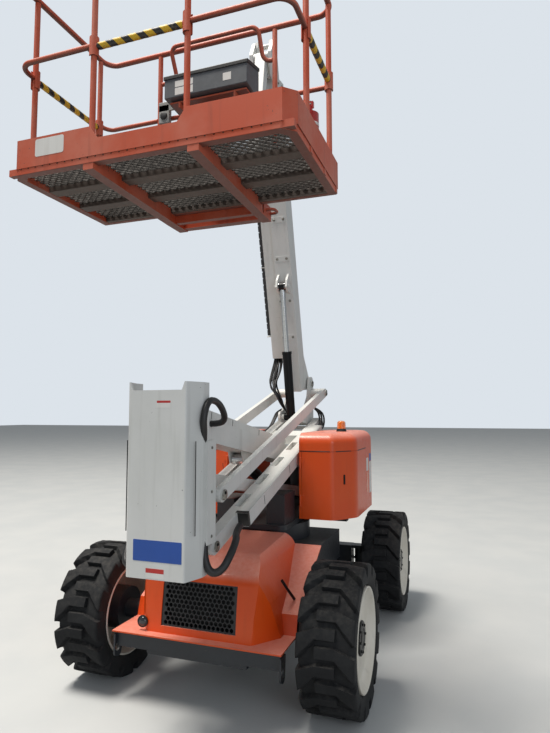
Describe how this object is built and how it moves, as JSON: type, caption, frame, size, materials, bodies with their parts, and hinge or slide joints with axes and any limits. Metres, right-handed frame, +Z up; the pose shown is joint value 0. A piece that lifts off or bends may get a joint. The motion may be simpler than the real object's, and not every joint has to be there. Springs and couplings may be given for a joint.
{
  "type": "articulating boom lift",
  "caption": "Wheeled articulating boom lift: slewing turntable with twin cowls, parallelogram riser, telescoping main boom, folding jib and railed work platform",
  "frame": {"origin": "On the ground under the slewing axis, midway between the wheels", "axes": "+X to the right as seen from the platform end, -Y toward the bonnet and the platform, +Z up"},
  "size_m": [1.946, 3.3501, 4.9493],
  "materials": {
    "tyre": "dusty black-grey filled rubber tyre",
    "rim_cream": "cream painted steel wheel",
    "chassis_grey": "dark blue-grey paint",
    "orange": "orange paint, semi-gloss",
    "platform_orange": "faded orange-red paint",
    "white_paint": "warm white paint",
    "black_paint": "black paint",
    "black_steel": "satin black",
    "cast": "bare cast metal",
    "chrome": "hard chrome rod",
    "zinc_floor": "galvanised expanded metal",
    "grille_black": "black grille",
    "amber": "amber lens",
    "black_plastic": "black plastic",
    "console_grey": "dark grey moulded console",
    "red": "red bottle",
    "hazard": "yellow bar with black bands",
    "plastic_tank": "dark tank"
  },
  "bodies": {
    "chassis": {"chassis_frame": "chassis_grey", "engine_block": "cast", "front_axle": "chassis_grey", "steering_axle": "chassis_grey", "steering_cylinder": "black_steel", "bonnet": "orange", "grille": "grille_black"},
    "wheel_front_left": {"tyre_front_left": "tyre", "rim_front_left": "rim_cream"},
    "wheel_front_right": {"tyre_front_right": "tyre", "rim_front_right": "rim_cream"},
    "wheel_rear_left": {"tyre_rear_left": "tyre", "rim_rear_left": "rim_cream"},
    "wheel_rear_right": {"tyre_rear_right": "tyre", "rim_rear_right": "rim_cream"},
    "knuckle_left": {"steering_knuckle_left": "chassis_grey"},
    "knuckle_right": {"steering_knuckle_right": "chassis_grey"},
    "steering_rod": {"steering_link": "chrome"},
    "turntable": {"turntable": "chassis_grey", "counterweight": "cast", "cowls": "orange", "cowl_tanks": "plastic_tank", "beacon": "amber"},
    "door_left": {"cowl_door_left": "orange"},
    "door_right": {"cowl_door_right": "orange"},
    "lower_boom": {"lower_boom": "white_paint"},
    "lower_link": {"lower_link": "white_paint"},
    "riser_barrel": {"riser_cylinder_barrel": "black_steel"},
    "riser_rod": {"riser_cylinder_rod": "chrome"},
    "knuckle": {"knuckle": "white_paint"},
    "upper_arms": {"upper_arms": "white_paint"},
    "upper_links": {"upper_links": "white_paint"},
    "tower": {"tower": "white_paint"},
    "main_boom": {"main_boom": "white_paint", "energy_chain": "black_plastic"},
    "boom_barrel": {"boom_cylinder_barrel": "black_steel"},
    "boom_rod": {"boom_cylinder_rod": "chrome"},
    "fly_boom": {"fly_boom": "white_paint"},
    "jib_head": {"jib_head": "white_paint"},
    "jib_arm": {"jib_arm": "white_paint"},
    "jib_barrel": {"jib_cylinder_barrel": "black_steel"},
    "jib_rod": {"jib_cylinder_rod": "chrome"},
    "jib_bracket": {"jib_bracket": "white_paint"},
    "platform": {"platform_frame": "platform_orange", "platform_floor": "zinc_floor", "guard_rails": "platform_orange", "console": "console_grey", "extinguisher": "red"},
    "bar_front": {"drop_bar_front": "hazard"},
    "bar_left": {"drop_bar_left": "hazard"},
    "bar_right": {"drop_bar_right": "hazard"}
  },
  "joints": [
    {"name": "wheel_front_left_spin", "type": "hinge", "parent": "chassis", "child": "wheel_front_left", "pos_m": [-0.808, -0.938, 0.428], "axis": [1, 0, 0], "continuous": true},
    {"name": "wheel_front_right_spin", "type": "hinge", "parent": "chassis", "child": "wheel_front_right", "pos_m": [0.808, -0.938, 0.428], "axis": [1, 0, 0], "continuous": true},
    {"name": "steer_left", "type": "hinge", "parent": "chassis", "child": "knuckle_left", "pos_m": [-0.56, 0.938, 0.428], "axis": [0, 0, 1], "range_deg": [-30, 30]},
    {"name": "steer_right", "type": "hinge", "parent": "chassis", "child": "knuckle_right", "pos_m": [0.56, 0.938, 0.428], "axis": [0, 0, 1], "range_deg": [-30, 30]},
    {"name": "wheel_rear_left_spin", "type": "hinge", "parent": "knuckle_left", "child": "wheel_rear_left", "pos_m": [-0.808, 0.938, 0.428], "axis": [1, 0, 0], "continuous": true},
    {"name": "wheel_rear_right_spin", "type": "hinge", "parent": "knuckle_right", "child": "wheel_rear_right", "pos_m": [0.808, 0.938, 0.428], "axis": [1, 0, 0], "continuous": true},
    {"name": "steering_link_slide", "type": "slide", "parent": "chassis", "child": "steering_rod", "axis": [-1, 0, 0], "range_m": [-0.08, 0.08]},
    {"name": "slew", "type": "hinge", "parent": "chassis", "child": "turntable", "pos_m": [0, 0, 0.79], "axis": [0, 0, 1], "range_deg": [-180, 180]},
    {"name": "door_left_swing", "type": "hinge", "parent": "turntable", "child": "door_left", "pos_m": [-0.312, -0.147, 1.2], "axis": [0, 0, 1], "range_deg": [0, 90]},
    {"name": "door_right_swing", "type": "hinge", "parent": "turntable", "child": "door_right", "pos_m": [0.312, -0.147, 1.2], "axis": [0, 0, -1], "range_deg": [0, 90]},
    {"name": "riser_lift", "type": "hinge", "parent": "turntable", "child": "lower_boom", "pos_m": [0, 0.78, 1.324], "axis": [-1, 0, 0], "range_deg": [0, 50]},
    {"name": "lower_link_turn", "type": "hinge", "parent": "turntable", "child": "lower_link", "pos_m": [0, 0.78, 1.024], "axis": [-1, 0, 0], "range_deg": [0, 50]},
    {"name": "knuckle_level", "type": "hinge", "parent": "lower_boom", "child": "knuckle", "pos_m": [0, -1.44, 1.692], "axis": [1, 0, 0], "range_deg": [0, 50]},
    {"name": "upper_arm_turn", "type": "hinge", "parent": "knuckle", "child": "upper_arms", "pos_m": [0, -1.44, 1.02], "axis": [1, 0, 0], "range_deg": [0, 50]},
    {"name": "upper_link_turn", "type": "hinge", "parent": "knuckle", "child": "upper_links", "pos_m": [0, -1.44, 1.31], "axis": [1, 0, 0], "range_deg": [0, 50]},
    {"name": "tower_level", "type": "hinge", "parent": "upper_arms", "child": "tower", "pos_m": [0, 0.895, 1.67], "axis": [-1, 0, 0], "range_deg": [0, 50]},
    {"name": "riser_barrel_turn", "type": "hinge", "parent": "turntable", "child": "riser_barrel", "pos_m": [0, 0.35, 1.02], "axis": [-1, 0, 0], "range_deg": [0, 54.52]},
    {"name": "riser_rod_slide", "type": "slide", "parent": "riser_barrel", "child": "riser_rod", "axis": [0, -0.9191, 0.394], "range_m": [0, 0.4652]},
    {"name": "boom_lift", "type": "hinge", "parent": "tower", "child": "main_boom", "pos_m": [0, 0.895, 2.05], "axis": [1, 0, 0], "range_deg": [0, 72]},
    {"name": "boom_barrel_turn", "type": "hinge", "parent": "tower", "child": "boom_barrel", "pos_m": [0, 0.592, 1.733], "axis": [1, 0, 0], "range_deg": [0, 76.74]},
    {"name": "boom_rod_slide", "type": "slide", "parent": "boom_barrel", "child": "boom_rod", "axis": [0, 0.2033, -0.9791], "range_m": [0, 0.5255]},
    {"name": "telescope", "type": "slide", "parent": "main_boom", "child": "fly_boom", "axis": [0, -0.2588, 0.9659], "range_m": [0, 2.2]},
    {"name": "jib_head_level", "type": "hinge", "parent": "fly_boom", "child": "jib_head", "pos_m": [0, -0.1, 4.9], "axis": [-1, 0, 0], "range_deg": [0, 72]},
    {"name": "jib_lift", "type": "hinge", "parent": "jib_head", "child": "jib_arm", "pos_m": [0, -0.17, 4.76], "axis": [-1, 0, 0], "range_deg": [0, 120]},
    {"name": "jib_barrel_turn", "type": "hinge", "parent": "jib_head", "child": "jib_barrel", "pos_m": [0, -0.1187, 4.61905], "axis": [-1, 0, 0], "range_deg": [0, 126.89]},
    {"name": "jib_rod_slide", "type": "slide", "parent": "jib_barrel", "child": "jib_rod", "axis": [0, -0.1359, -0.9907], "range_m": [0, 0.2727]},
    {"name": "platform_level", "type": "hinge", "parent": "jib_arm", "child": "jib_bracket", "pos_m": [0, -0.38706, 3.52899], "axis": [1, 0, 0], "range_deg": [0, 120]},
    {"name": "platform_turn", "type": "hinge", "parent": "jib_bracket", "child": "platform", "pos_m": [0, -0.64, 3.4], "axis": [0, 0, 1], "range_deg": [-90, 90]},
    {"name": "drop_bar_front_lift", "type": "slide", "parent": "platform", "child": "bar_front", "axis": [0, 0, 1], "range_m": [0, 0.4]},
    {"name": "drop_bar_left_lift", "type": "slide", "parent": "platform", "child": "bar_left", "axis": [0, 0, 1], "range_m": [0, 0.4]},
    {"name": "drop_bar_right_lift", "type": "slide", "parent": "platform", "child": "bar_right", "axis": [0, 0, 1], "range_m": [0, 0.4]}
  ],
  "couplings": [
    {"joint": "steer_right", "follows": "steer_left", "ratio": 1},
    {"joint": "steering_link_slide", "follows": "steer_left", "m_per_rad": 0.1452},
    {"joint": "lower_link_turn", "follows": "riser_lift", "ratio": 1},
    {"joint": "knuckle_level", "follows": "riser_lift", "ratio": 1},
    {"joint": "upper_arm_turn", "follows": "riser_lift", "ratio": 1},
    {"joint": "upper_link_turn", "follows": "riser_lift", "ratio": 1},
    {"joint": "tower_level", "follows": "riser_lift", "ratio": 1},
    {"joint": "riser_barrel_turn", "follows": "riser_lift", "ratio": 1.0385},
    {"joint": "riser_rod_slide", "follows": "riser_lift", "m_per_rad": 0.5077},
    {"joint": "boom_barrel_turn", "follows": "boom_lift", "ratio": 1.015},
    {"joint": "boom_rod_slide", "follows": "boom_lift", "m_per_rad": 0.41},
    {"joint": "jib_head_level", "follows": "boom_lift", "ratio": 1},
    {"joint": "jib_barrel_turn", "follows": "jib_lift", "ratio": 1.007},
    {"joint": "jib_rod_slide", "follows": "jib_lift", "m_per_rad": 0.124},
    {"joint": "platform_level", "follows": "jib_lift", "ratio": 1}
  ]
}
